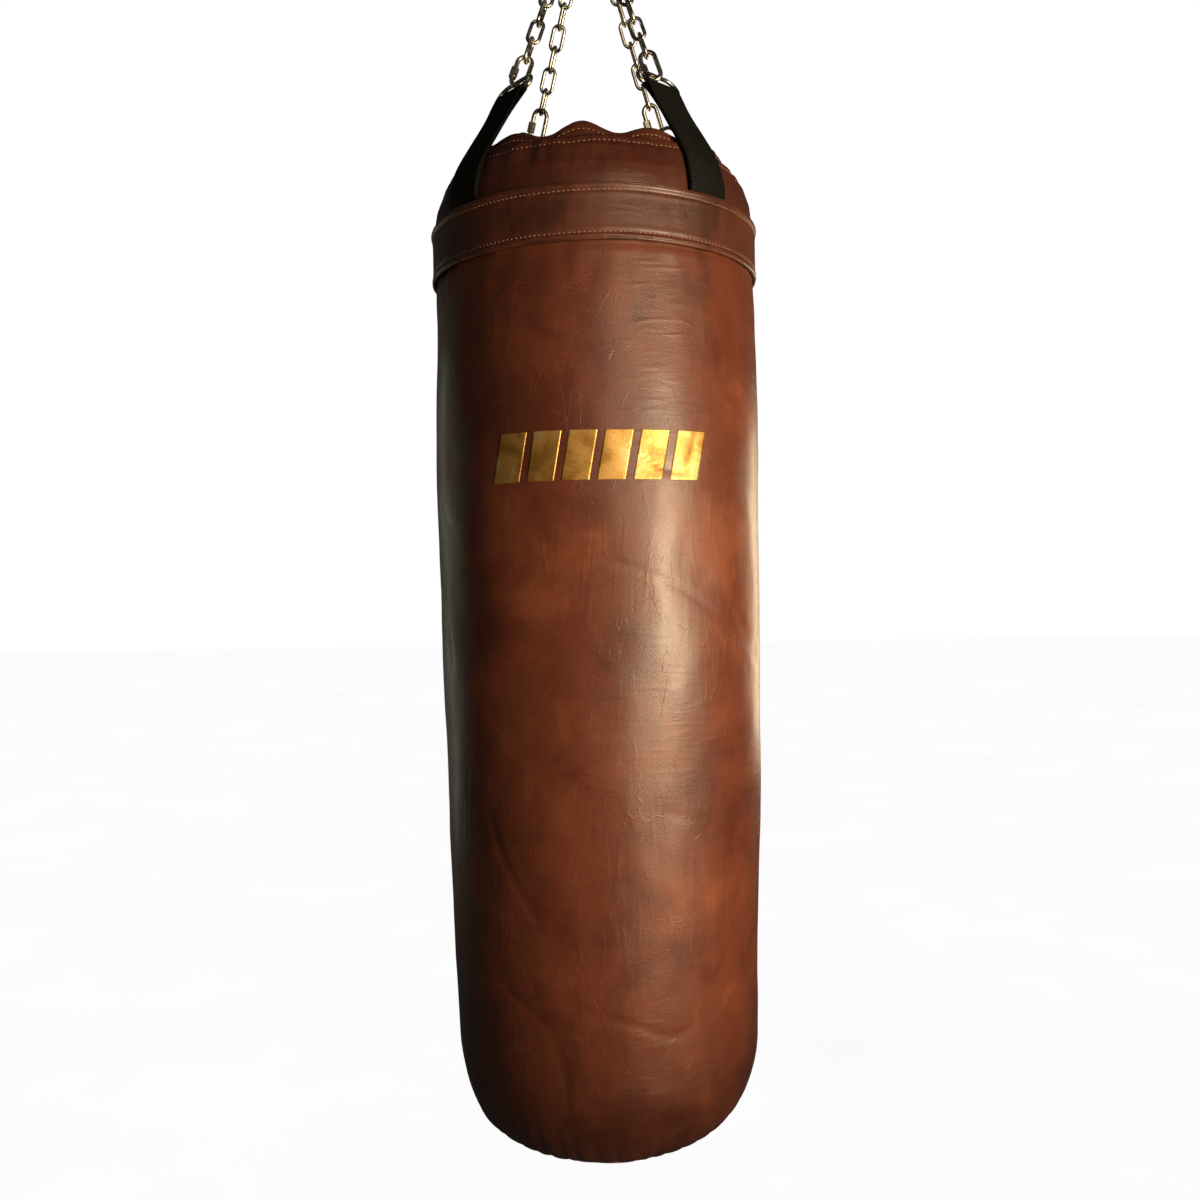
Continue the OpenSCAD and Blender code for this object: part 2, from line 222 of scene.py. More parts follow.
class Look:
    """A node material that is built from the bag's own coordinates."""

    def __init__(self, name, **principled):
        self.material = bpy.data.materials.new(name)
        self.material.use_nodes = True
        self.tree = self.material.node_tree
        self.shader = self.tree.nodes["Principled BSDF"]
        for key, value in principled.items():
            self.shader.inputs[key.replace("_", " ")].default_value = value
        self.place = self.node("ShaderNodeTexCoord").outputs["Object"]

    def node(self, kind, **settings):
        made = self.tree.nodes.new(kind)
        for key, value in settings.items():
            setattr(made, key, value)
        return made

    def link(self, source, socket):
        self.tree.links.new(source, socket)

    def stretched(self, scale, turn=(0, 0, 0)):
        made = self.node("ShaderNodeMapping")
        made.inputs["Scale"].default_value = scale
        made.inputs["Rotation"].default_value = turn
        self.link(self.place, made.inputs["Vector"])
        return made.outputs["Vector"]

    def noise(self, scale, detail=2.0, rough=0.5, warp=0.0, kind="FBM", vector=None):
        made = self.node("ShaderNodeTexNoise", noise_type=kind)
        for key, value in (("Scale", scale), ("Detail", detail), ("Roughness", rough),
                           ("Distortion", warp)):
            made.inputs[key].default_value = value
        self.link(vector or self.place, made.inputs["Vector"])
        return made.outputs["Fac"]

    def cells(self, scale, feature="F1", vector=None):
        made = self.node("ShaderNodeTexVoronoi", feature=feature)
        made.inputs["Scale"].default_value = scale
        self.link(vector or self.place, made.inputs["Vector"])
        return made.outputs["Distance"]

    def creases(self, scale, stretch, turn, width, least):
        """Thin bent lines between stretched cells, where a slow noise is over least."""
        shift = self.node("ShaderNodeTexNoise")
        shift.inputs["Scale"].default_value = scale
        self.link(self.place, shift.inputs["Vector"])
        small = self.node("ShaderNodeVectorMath", operation="SCALE")
        small.inputs["Scale"].default_value = 0.3 / scale
        self.link(shift.outputs["Color"], small.inputs[0])
        bent = self.node("ShaderNodeVectorMath", operation="ADD")
        self.link(self.stretched(stretch, turn), bent.inputs[0])
        self.link(small.outputs[0], bent.inputs[1])
        line = self.ramp(self.cells(scale, "DISTANCE_TO_EDGE", bent.outputs[0]),
                         (0.0, 1.0), (width, 0.0))
        where = self.ramp(self.noise(scale * 0.45, 2, 0.6), (least, 0.0), (least + 0.08, 1.0))
        return self.mix(1.0, line, where, "MULTIPLY")

    def ramp(self, value, *stops, smooth=False):
        made = self.node("ShaderNodeValToRGB")
        ramp = made.color_ramp
        ramp.interpolation = "EASE" if smooth else "LINEAR"
        while len(ramp.elements) < len(stops):
            ramp.elements.new(0.5)
        for element, (at, colour) in zip(ramp.elements, stops):
            element.position = at
            grey = not isinstance(colour, tuple)
            element.color = (colour, colour, colour, 1) if grey else (*colour, 1)
        self.link(value, made.inputs["Fac"])
        return made.outputs["Color"]

    def range(self, value, a, b, c, d):
        made = self.node("ShaderNodeMapRange")
        for key, number in zip(("From Min", "From Max", "To Min", "To Max"), (a, b, c, d)):
            made.inputs[key].default_value = number
        self.link(value, made.inputs["Value"])
        return made.outputs["Result"]

    def math(self, operation, a, b):
        made = self.node("ShaderNodeMath", operation=operation)
        for socket, value in zip(made.inputs, (a, b)):
            if isinstance(value, (int, float)):
                socket.default_value = value
            else:
                self.link(value, socket)
        return made.outputs["Value"]

    def mix(self, factor, a, b, blend="MIX"):
        made = self.node("ShaderNodeMix", data_type="RGBA", blend_type=blend)
        for socket, value in ((made.inputs[0], factor), (made.inputs[6], a), (made.inputs[7], b)):
            if isinstance(value, (int, float)):
                socket.default_value = value
            elif isinstance(value, tuple):
                socket.default_value = (*value, 1)
            else:
                self.link(value, socket)
        return made.outputs[2]

    def bump(self, height, distance, strength=1.0, under=None):
        made = self.node("ShaderNodeBump")
        made.inputs["Strength"].default_value = strength
        made.inputs["Distance"].default_value = distance
        self.link(height, made.inputs["Height"])
        if under:
            self.link(under, made.inputs["Normal"])
        return made.outputs["Normal"]

    def finish(self, colour=None, rough=None, normal=None, metal=None):
        for key, value in (("Base Color", colour), ("Roughness", rough), ("Normal", normal),
                           ("Metallic", metal)):
            if value is not None:
                self.link(value, self.shader.inputs[key])
        return self.material


def leather(name, dark, middle, warm, rough=0.40, cloud=10, grain=1.6, painted_foot_shade=False):
    """Waxed pull-up leather: cloudy tone, fine pores, creases and shallow wrinkles.

    painted_foot_shade paints shade into the colour: it turns darker towards the bag's rounded bottom.
    """
    look = Look(name, Specular_IOR_Level=0.5, Coat_Weight=0.12, Coat_Roughness=0.22)
    clouds = look.noise(cloud, 4, 0.55, 0.5)
    patches = look.noise(cloud * 3.3, 3, 0.6, 0.3, vector=look.stretched((1, 1, 0.6)))
    tone = look.math("ADD", look.math("MULTIPLY", clouds, 0.72), look.math("MULTIPLY", patches, 0.28))
    colour = look.ramp(tone, (0.36, dark), (0.50, middle), (0.68, warm), smooth=True)
    # thin creases, mostly steep, and short scratches, only in places
    steep = look.creases(34, (1, 1, 0.30), (0.45, 0.35, 0), 0.014, 0.54)
    short = look.creases(70, (1, 1, 0.45), (-0.5, 0.6, 0), 0.018, 0.57)
    flat = look.creases(45, (0.3, 0.3, 1.2), (0.1, 0.1, 0), 0.014, 0.60)
    crease = look.math("MAXIMUM", look.math("MAXIMUM", steep, short), flat)
    # fine wrinkles that lie across and along
    across = look.noise(90, 3, 0.6, 0.4, "RIDGED_MULTIFRACTAL", look.stretched((0.3, 0.3, 1.5)))
    along = look.noise(75, 3, 0.6, 0.5, "RIDGED_MULTIFRACTAL", look.stretched((1.3, 1.3, 0.3)))
    which = look.ramp(look.noise(5, 1, 0.5), (0.42, 0.0), (0.58, 1.0))
    wrinkles = look.mix(which, across, along)
    pores = look.cells(1050)
    dust = look.noise(700, 3, 0.6)
    colour = look.mix(look.math("MULTIPLY", crease, 0.5), colour, warm)
    speckle = look.range(dust, 0.3, 0.7, 0.90, 1.08)
    colour = look.mix(1.0, colour, speckle, "MULTIPLY")
    if painted_foot_shade:
        # painted shade: the colour is multiplied down towards the rounded bottom, standing in for the
        # shade that falls there
        split = look.node("ShaderNodeSeparateXYZ")
        look.link(look.place, split.inputs[0])
        foot = look.range(split.outputs["Z"], ROUND_Z - 0.07, ROUND_Z + 0.07, 0.40, 1.0)
        colour = look.mix(1.0, colour, foot, "MULTIPLY")
    roughness = look.math("ADD", look.range(clouds, 0.3, 0.7, rough - 0.05, rough + 0.06),
                          look.range(dust, 0.3, 0.7, -0.03, 0.05))
    normal = look.bump(pores, 0.00012 * grain, 0.55)
    normal = look.bump(dust, 0.00010 * grain, 0.6, normal)
    normal = look.bump(wrinkles, 0.0007, 0.6, normal)
    normal = look.bump(crease, 0.0003, 0.42, normal)
    return look.finish(colour, roughness, normal)


def webbing():
    look = Look("webbing", Sheen_Weight=0.02, Sheen_Roughness=0.4, Specular_IOR_Level=0.15)
    fibres = look.noise(900, 3, 0.7)
    fade = look.noise(25, 3, 0.6)
    colour = look.ramp(look.math("ADD", look.math("MULTIPLY", fibres, 0.5),
                                 look.math("MULTIPLY", fade, 0.5)),
                       (0.35, (0.0014, 0.0013, 0.0012)), (0.7, (0.0044, 0.0041, 0.0038)))
    return look.finish(colour, look.range(fibres, 0.3, 0.7, 0.5, 0.7), look.bump(fibres, 0.0003, 0.7))


def cotton_thread():
    look = Look("thread", Sheen_Weight=0.3, Sheen_Roughness=0.5)
    twist = look.noise(1400, 2, 0.5, vector=look.stretched((1, 1, 2.5)))
    colour = look.ramp(twist, (0.35, (0.22, 0.10, 0.050)), (0.65, (0.37, 0.205, 0.12)))
    return look.finish(colour, look.range(twist, 0.3, 0.7, 0.5, 0.75), look.bump(twist, 0.0002, 0.8))


def steel(name, dark, light, rough=0.24, cast=0.0):
    """Plated steel with handling marks, duller in broad random patches."""
    look = Look(name)
    broad = look.noise(60, 4, 0.6)
    fine = look.noise(900, 4, 0.7, vector=look.stretched((1, 1, 0.4)))
    colour = look.ramp(broad, (0.35, dark), (0.62, light))
    worn = look.range(broad, 0.35, 0.65, rough - 0.06, rough + 0.12)
    roughness = look.math("ADD", worn, look.range(fine, 0.3, 0.7, -0.04, 0.08))
    normal = look.bump(fine, 0.00005, 0.5)
    if cast:
        normal = look.bump(look.noise(380, 3, 0.6), 0.00012, cast, normal)
    look.shader.inputs["Metallic"].default_value = 1.0
    return look.finish(colour, roughness, normal)


def gold_foil():
    look = Look("gold_foil", Specular_IOR_Level=0.6)
    tone = look.noise(26, 4, 0.6, 0.4)
    colour = look.ramp(tone, (0.36, (0.33, 0.16, 0.03)), (0.50, (0.52, 0.30, 0.075)),
                       (0.66, (0.64, 0.43, 0.18)), smooth=True)
    cracks = look.cells(330, "DISTANCE_TO_EDGE", look.stretched((1, 1, 1.8)))
    crack = look.ramp(cracks, (0.0, 1.0), (0.05, 0.0))
    rub = look.ramp(look.noise(420, 4, 0.7), (0.60, 0.0), (0.72, 1.0))
    worn = look.math("MAXIMUM", look.math("MULTIPLY", crack, 0.45), look.math("MULTIPLY", rub, 0.6))
    colour = look.mix(worn, colour, (0.16, 0.06, 0.02))
    metal = look.range(worn, 0, 1, 0.72, 0.1)
    rough = look.range(look.noise(300, 3, 0.6), 0.3, 0.7, 0.34, 0.5)
    normal = look.bump(look.cells(1050), 0.0001, 0.5)
    return look.finish(colour, rough, look.bump(worn, 0.0001, 0.6, normal), metal)


def soft_filling(name, dark, light, scale):
    look = Look(name, Sheen_Weight=0.2)
    bits = look.noise(scale, 5, 0.7)
    colour = look.ramp(bits, (0.35, dark), (0.65, light))
    return look.finish(colour, look.range(bits, 0.3, 0.7, 0.8, 0.95), look.bump(bits, 0.001, 0.6))


def zip_cloth():
    look = Look("zip_cloth", Sheen_Weight=0.2)
    weave = look.noise(1200, 1, 0.4, vector=look.stretched((3, 0.6, 1)))
    colour = look.ramp(weave, (0.3, (0.006, 0.006, 0.006)), (0.7, (0.022, 0.02, 0.018)))
    return look.finish(colour, look.range(weave, 0.3, 0.7, 0.7, 0.85), look.bump(weave, 0.0003, 0.8))


def floor_look():
    look = Look("floor", Specular_IOR_Level=0.0, Emission_Strength=1.0)
    look.shader.inputs["Base Color"].default_value = (0, 0, 0, 1)
    look.link(look.ramp(look.noise(3, 3, 0.5), (0.3, 0.955), (0.7, 0.985)),
              look.shader.inputs["Emission Color"])
    return look.material


# the hide's colour carries painted shade towards the rounded bottom
HIDE = leather("hide", (0.082, 0.020, 0.010), (0.118, 0.029, 0.013), (0.180, 0.048, 0.018),
               painted_foot_shade=True)
TRIM = leather("hide_trim", (0.048, 0.013, 0.007), (0.084, 0.023, 0.012), (0.128, 0.038, 0.018),
               rough=0.42, cloud=11)
# a darker copy of the hide for the collar and sleeve: its extra darkness is painted shade from the
# straps, the band and the top recess around them
SHADED_COLLAR_HIDE = leather("hide_collar", (0.038, 0.009, 0.0045), (0.064, 0.015, 0.007),
                      (0.104, 0.028, 0.012), rough=0.42, cloud=11)
PIPING = leather("hide_piping", (0.060, 0.018, 0.010), (0.100, 0.032, 0.016), (0.150, 0.050, 0.024),
                 rough=0.40, cloud=14)
INNER = leather("hide_inner", (0.045, 0.013, 0.008), (0.085, 0.025, 0.013), (0.130, 0.040, 0.018),
                rough=0.45, cloud=9)
WEBBING = webbing()
THREAD = cotton_thread()
FOIL = gold_foil()
CHAIN_STEEL = steel("chain_steel", (0.36, 0.33, 0.28), (0.68, 0.64, 0.56), 0.22)
NUT_STEEL = steel("nut_steel", (0.40, 0.38, 0.33), (0.70, 0.67, 0.60), 0.28)
RING_STEEL = steel("ring_steel", (0.38, 0.36, 0.31), (0.70, 0.67, 0.60), 0.20)
SWIVEL_STEEL = steel("swivel_steel", (0.26, 0.25, 0.23), (0.48, 0.47, 0.44), 0.34, cast=0.7)
ZIP_METAL = steel("zip_metal", (0.34, 0.31, 0.26), (0.62, 0.58, 0.50), 0.30)
FOAM = soft_filling("foam", (0.42, 0.36, 0.22), (0.68, 0.60, 0.42), 500)
FILLING = soft_filling("filling", (0.16, 0.15, 0.16), (0.48, 0.45, 0.42), 130)
ZIP_CLOTH = zip_cloth()

# ---------------------------------------------------------------- stuffed leather body

BODY = tree_of("leather_shell", "base_disc")


def body_outline(count):
    """(radius, height, outward radius, outward height) from under the band to the base's middle."""
    line = []
    side_z = [BAND_LOW + 6 * MM - i * (BAND_LOW + 6 * MM - ROUND_Z) / count for i in range(count)]
    for z in side_z:
        line.append((outer_radius(BODY, min(z, BAND_LOW - 4 * MM)), z, 1, 0))
    centre = Vector((0, 0, ROUND_Z))
    turns = round(count * 0.31)
    for i in range(turns + 1):
        a = TURN / 4 * i / turns
        way = Vector((math.cos(a), 0, -math.sin(a)))
        hit = BODY.ray_cast(centre + way, -way)[0]
        line.append((hit.x, hit.z, math.cos(a), -math.sin(a)))
    return line


OUTLINE = body_outline(230)
PLEATS = 46
pleat_chance = random.Random(7)
PLEAT_SHIFT = [pleat_chance.uniform(-0.3, 0.3) for _ in range(PLEATS)]
PLEAT_DEPTH = [pleat_chance.uniform(0.45, 1.0) for _ in range(PLEATS)]


def pleat(angle):
    """Depth of the gathers at the bottom, 0 on a bulge and 1 in a fold."""
    place = (angle % TURN) / TURN * PLEATS
    depth = 0
    for k in (int(place) - 1, int(place), int(place) + 1):
        at = k + 0.5 + PLEAT_SHIFT[k % PLEATS]
        depth = max(depth, PLEAT_DEPTH[k % PLEATS] * bell(place - at, 0.22))
    return depth


def body_relief(p, angle, z, reach):
    """How far the leather stands off its smooth outline. reach is 0 at the base's seam."""
    lumps = 2.2 * noise.noise(p * 6.0 + Vector((3.1, 0, 5.2)))
    lumps += 1.5 * noise.noise(Vector((p.x * 15, p.y * 15, p.z * 9)) + Vector((9, 4, 1)))
    lumps += 0.42 * noise.noise(Vector((p.x * 38, p.y * 38, p.z * 30)))
    lumps *= 1 - 0.4 * bell(BAND_LOW - z, 0.05)
    fold = abs(noise.noise(Vector((p.x * 8 + p.z * 4, p.y * 8, p.z * 5.5)) + Vector((0, 2, 7))))
    lumps -= 0.80 * bell(fold, 0.026) * ease(0.02, 0.34, noise.noise(p * 7 + Vector((1, 8, 2))))
    pull = bell(BAND_LOW - z, 0.045)
    lumps += 1.0 * pull * noise.noise(Vector((math.cos(angle), math.sin(angle), z * 3)) * 9)
    low = 1 - ease(0.0, 0.11, reach)
    lumps += (4.3 - 1.6 * math.cos(angle)) * bell(reach - 0.042, 0.030)
    lumps -= low * (3.4 * pleat(angle) - 0.6)
    seam = abs(wrap(angle - TURN / 4)) * 0.18
    lumps -= 1.1 * bell(seam, 0.0022) - 0.5 * bell(seam - 0.008, 0.005)
    return lumps * MM


def hide_rows():
    """Outline rows of the side wall, down to a lap just inside the base's seam."""
    return [row for row in OUTLINE if row[0] > BASE_R - 4 * MM or row[1] > ROUND_Z]


def body_point(row, angle, lift=0.0):
    r, z, out_r, out_z = row
    p = polar(r, angle, z)
    reach = math.hypot(max(r - BASE_R, 0), max(z - bottom_of("leather_shell"), 0))
    out = body_relief(p, angle, z, reach) + lift
    return polar(r + out * out_r, angle, z + out * out_z)


def make_hide():
    rows = hide_rows()[::-1]
    last = len(rows) - 1
    made = shell("bag_hide", lambda u, angle: body_point(rows[round(u * last)], angle),
                 len(rows), 288, HIDE_T, material=HIDE, slot="hide", stands_for=["leather_shell"])
    return made


def make_base():
    rows = [row for row in OUTLINE if row[0] < BASE_R + 1 * MM and row[1] < ROUND_Z][::-1]
    last = len(rows) - 1

    def point(u, angle):
        r, z, out_r, out_z = rows[round(u * last)]
        p = polar(max(r, 0.2 * MM), angle, z)
        lift = 0.8 * noise.noise(p * 22) * MM - 3.2 * MM * bell(BASE_R - r, 0.007)
        return polar(p.xy.length + lift * out_r, angle, z + lift * out_z)

    made = shell("base_panel", point, len(rows), 160, HIDE_T, material=INNER, slot="hide_inner",
                 stands_for=["base_disc"])
    welt = middle_of("base_welt")
    rim = BOX["base_welt"][1].x - 1.8 * MM

    def section(angle):
        lift = 0.5 * noise.noise(polar(1, angle, 0) * 7) * MM
        return rim - 0.8 * MM + lift, welt.z + 1.4 * MM - lift, 2.6 * MM, 1.9 * MM

    torus("base_welt_roll", section, 10, 240, material=PIPING, slot="hide_piping",
          stands_for=["base_welt"])


def make_back_seam(hide_tree):
    """Stitching beside the side wall's joint, down the middle of the back."""
    places = []
    z = BAND_LOW - 9 * MM
    angle = TURN / 4 + 0.009 / 0.18                 # 9 mm beside the joint
    way = polar(1, angle, 0)
    while z > ROUND_Z - 80 * MM:
        hit, normal = hide_tree.ray_cast(way + Vector((0, 0, z)), -way)[:2]
        places.append((hit, Vector((0, 0, 1)), normal))
        z -= STITCH_PITCH
    stitch_row("back_seam_stitches", places, seed=3)


# ---------------------------------------------------------------- band

ROW_IN = 7.5 * MM
BAND_ROWS = (BAND_TOP - ROW_IN, BAND_LOW + ROW_IN)


def band_face(z, angle):
    """Radius of the band's outer face."""
    r = BAND_R - 0.2 * MM
    for row in BAND_ROWS:
        r -= 1.0 * MM * bell(z - row, 2.2 * MM)
    r += 1.1 * MM * bell(z - (BAND_TOP - 3.2 * MM), 3.0 * MM)
    r += 0.7 * MM * bell(z - (BAND_LOW + 4.2 * MM), 2.6 * MM)
    r -= 1.6 * MM * bell(z - BAND_TOP, 1.2 * MM)
    p = polar(1, angle, 0)
    r += 0.45 * MM * noise.noise(Vector((p.x * 5, p.y * 5, z * 22)))
    r += 0.25 * MM * noise.noise(Vector((p.x * 19, p.y * 19, z * 30)))
    hollow = ease(BAND_LOW + 8 * MM, BAND_LOW + 16 * MM, z)
    hollow *= 1 - ease(BAND_TOP - 16 * MM, BAND_TOP - 8 * MM, z)
    r -= 0.5 * MM * hollow
    return r + 0.9 * MM * strap_nearness(angle, 0.16) * ease(BAND_LOW + 12 * MM, BAND_TOP, z)


def band_wave(angle):
    """The band's edges run slightly up and down."""
    return 0.9 * MM * noise.noise(polar(1, angle, 3) * 2.3)


def make_band():
    low, high = BAND_LOW + 1.8 * MM, BAND_TOP - 1.2 * MM

    def point(u, angle):
        z = low + (high - low) * u
        return polar(band_face(z, angle), angle, z + band_wave(angle))

    shell("top_band_leather", point, 44, 320, 2.2 * MM, material=TRIM, slot="hide_trim",
          stands_for=["top_band"])

    def upper(angle):
        lift = 0.25 * MM * noise.noise(polar(1, angle, 0) * 12)
        swell = 0.9 * MM * strap_nearness(angle, 0.16)
        z = BAND_TOP - 1.4 * MM + lift + band_wave(angle)
        return BAND_R - 1.5 * MM + swell, z, 1.9 * MM, 1.6 * MM

    def lower(angle):
        lift = 0.25 * MM * noise.noise(polar(1, angle, 5) * 12)
        z = BAND_LOW + 1.5 * MM + lift + band_wave(angle)
        return BAND_R - 1.7 * MM, z, 2.1 * MM, 1.7 * MM

    torus("band_roll_upper", upper, 12, 360, material=TRIM, slot="hide_piping",
          stands_for=["band_piping_upper"])
    torus("band_roll_lower", lower, 12, 360, material=PIPING, slot="hide_piping",
          stands_for=["band_piping_lower"])
    for name, z, node, seed in (("band_stitches_upper", BAND_ROWS[0], "band_thread_upper", 11),
                                ("band_stitches_lower", BAND_ROWS[1], "band_thread_lower", 12)):
        line = lambda a: polar(band_face(z, a), a, z + band_wave(a))
        places = around(line, STITCH_PITCH, BAND_R)
        stitch_row(name, places, stands_for=[node], seed=seed)


# ---------------------------------------------------------------- collar, sleeve and lid

COLLAR = tree_of("collar")
SLEEVE = tree_of("closing_sleeve")
COLLAR_SPAN = (BAND_TOP - 14 * MM, COLLAR_TOP - 0.4 * MM)                      # lowest and highest z
SLEEVE_SPAN = (bottom_of("closing_sleeve") + 1 * MM, SLEEVE_TOP - 0.5 * MM)
COLLAR_ROW, SLEEVE_ROW = 6.6 * MM, 9.5 * MM         # stitch rows below the top edges


def collar_lift(angle):
    """Waves of the collar's top edge."""
    p = polar(1, angle, 0)
    return (2.2 * noise.noise(p * 3.2 + Vector((4, 4, 4))) + 1.1 * noise.noise(p * 9)) * MM


def collar_point(u, angle):
    low, high = COLLAR_SPAN
    z = low + (high - low) * u
    r = outer_radius(COLLAR, z)
    p = polar(1, angle, 0)
    open_side = 1 - strap_nearness(angle, 0.26)
    r += open_side * 3.0 * MM * bell(z - (BAND_TOP + 8 * MM), 22 * MM) * ease(0, 0.25, u)
    gather = ease(0.1, 0.9, u) * (0.35 + 0.65 * open_side)
    r += gather * 2.1 * MM * noise.noise(p * 8.5 + Vector((0, 0, z * 9)))
    r += gather * 1.2 * MM * noise.noise(p * 21 + Vector((0, 0, z * 12)))
    r += 0.9 * MM * open_side * noise.noise(Vector((p.x * 4, p.y * 4, z * 34)))
    r -= 0.9 * MM * bell(z - (COLLAR_TOP - COLLAR_ROW), 2.2 * MM)
    r -= (1 - open_side) * 0.5 * MM
    return polar(r, angle, z + collar_lift(angle) * ease(0.45, 1, u))


def sleeve_lift(angle):
    """Waves of the sleeve's rim, with the front hump."""
    p = polar(1, angle, 0)
    front = wrap(angle - FRONT)
    wave = 6.5 * math.cos(12.5 * front) * bell(front, 0.75)
    return (wave - 5.0 + 5.5 * noise.noise(p * 3.4 + Vector((0, 7, 0))) * (1 - bell(front, 0.5))) * MM


def sleeve_point(u, angle):
    low, high = SLEEVE_SPAN
    z = low + (high - low) * u
    r = outer_radius(SLEEVE, z)
    p = polar(1, angle, 0)
    r += ease(0.3, 1, u) * (2.0 * noise.noise(p * 6.5) + 0.8 * noise.noise(p * 19)) * MM
    r -= 0.8 * MM * bell(z - (SLEEVE_TOP - SLEEVE_ROW), 2.0 * MM)
    return polar(r, angle, z + sleeve_lift(angle) * ease(0.35, 1, u))


def make_collar():
    shell("collar_leather", collar_point, 60, 340, 2.4 * MM, material=SHADED_COLLAR_HIDE, slot="hide_trim",
          stands_for=["collar"])
    shell("sleeve_leather", sleeve_point, 36, 300, 2.2 * MM, material=SHADED_COLLAR_HIDE, slot="hide_inner",
          stands_for=["closing_sleeve"])

    def row(face, span, z):
        """The face's line at height z, before the edge's waves."""
        u = (z - span[0]) / (span[1] - span[0])
        return lambda angle: face(u, angle)

    collar_row = row(collar_point, COLLAR_SPAN, COLLAR_TOP - COLLAR_ROW)
    sleeve_row = row(sleeve_point, SLEEVE_SPAN, SLEEVE_TOP - SLEEVE_ROW)
    stitch_row("collar_stitches", around(collar_row, STITCH_PITCH, 0.165),
               stands_for=["collar_thread"], seed=21)
    stitch_row("sleeve_stitches", around(sleeve_row, STITCH_PITCH, 0.154),
               stands_for=["sleeve_thread"], seed=22)


def make_lid():
    """The lid over the filling, cut open under the zip and puckered at its rim."""
    radius = BOX["top_lid"][1].x
    slit_x, slit_y = 101 * MM, 4 * MM
    columns, rows = 200, 34

    def inner_edge(angle):
        c, s = abs(math.cos(angle)), abs(math.sin(angle))
        return min(slit_x / max(c, 1e-6), slit_y / max(s, 1e-6))

    def point(u, angle):
        r = inner_edge(angle) + (radius - inner_edge(angle)) * (1 - u)
        p = polar(r, angle, 0)
        flat = 1 - bell(p.y, 0.032)
        crown = 7.0 * MM * flat * (1 - (r / radius) ** 2)
        pucker = 1.6 * MM * flat * ease(0.09, 0.15, r) * noise.noise(polar(1, angle, 0) * 14)
        return Vector((p.x, p.y, LID_Z + crown + pucker))

    shell("lid_leather", point, rows, columns, 2.4 * MM, material=INNER, slot="hide_inner",
          stands_for=["top_lid"])
    low, high = BOX["zip_tape"]
    tape_gap = 3.3 * MM
    points, polygons = [], []
    for side in (-1, 1):
        start = len(points)
        across, lengthwise = 17, 220
        for level in (0, 1):
            for i in range(lengthwise):
                x = low.x + (high.x - low.x) * i / (lengthwise - 1)
                for j in range(across):
                    y = side * (tape_gap + (high.y - tape_gap) * j / (across - 1))
                    rib = 0.12 * MM * math.sin(j * 2.4) + 0.25 * MM * noise.noise(Vector((x, y, 0)) * 60)
                    points.append(Vector((x, y, low.z + (0.1 * MM if level == 0 else 0.85 * MM + rib))))
        block = across * lengthwise
        for i in range(lengthwise - 1):
            for j in range(across - 1):
                a = start + i * across + j
                b = a + block
                polygons.append((a, a + across, a + across + 1, a + 1)[::side])
                polygons.append((b, b + 1, b + across + 1, b + across)[::side])
        rim = [i * across for i in range(lengthwise)]
        rim += [(lengthwise - 1) * across + j for j in range(1, across)]
        rim += [i * across + across - 1 for i in range(lengthwise - 2, -1, -1)]
        rim += [j for j in range(across - 2, 0, -1)]
        for k, a in enumerate(rim):
            b = rim[(k + 1) % len(rim)]
            polygons.append((start + a, start + b, start + b + block, start + a + block)[::-side])
    piece("zip_tapes", points, polygons, ZIP_CLOTH, slot="zip_cloth", stands_for=["zip_tape"])
    places = []
    for side in (-1, 1):
        x = low.x + 4 * MM
        while x < high.x - 3 * MM:
            places.append((Vector((x, side * (high.y - 3 * MM), low.z + 0.9 * MM)),
                           Vector((1, 0, 0)), Vector((0, 0, 1))))
            x += STITCH_PITCH
    stitch_row("zip_stitches", places, seed=31)


# ---------------------------------------------------------------- straps

STRAP_W = 50 * MM
PLY = 1.9 * MM
RIB = 2.7 * MM


def strap_outline(leg):
    """Middle line of one leg's webbing, in (radius, height): up outside, round the bar, down inside."""
    low = BOX["d_ring_" + leg][0]
    bar = Vector((DEE_BAR_R, low.z + DEE_WIRE_R))
    foot = Vector((BAND_R - 2.9 * MM - PLY / 2, BAND_LOW + 10 * MM))
    lip = Vector((BAND_R - 2.3 * MM - PLY / 2, BAND_TOP - 4 * MM))
    bends = [foot, lip, Vector((BAND_R - 1.6 * MM, BAND_TOP + 7 * MM)),
             Vector((BAND_R - 4.2 * MM, BAND_TOP + 23 * MM)),
             Vector((BAND_R - 9.8 * MM, BAND_TOP + 41 * MM)),
             Vector((BAND_R - 18.6 * MM, BAND_TOP + 57 * MM)),
             Vector((BAND_R - 29.0 * MM, BAND_TOP + 73 * MM))]
    up = (bar - bends[-1]).normalized()
    out = Vector((up.y, -up.x))
    turn = DEE_WIRE_R + PLY / 2 + 0.1 * MM
    line = bends + [bends[-1].lerp(bar, 0.5) + out * 0.4 * MM, bar + out * turn - up * 6 * MM]
    for k in range(9):
        a = math.pi * k / 8
        line.append(bar + (out * math.cos(a) + up * math.sin(a)) * turn)
    inside = [p - side_of(bends, k) * (PLY + 0.15 * MM) for k, p in enumerate(bends)]
    line += [bar - out * turn * 0.9 - up * 6 * MM, bends[-1].lerp(bar, 0.5) - out * 1.7 * MM]
    return line + inside[::-1]


def side_of(line, k):
    d = (line[min(k + 1, len(line) - 1)] - line[max(k - 1, 0)]).normalized()
    return Vector((d.y, -d.x))


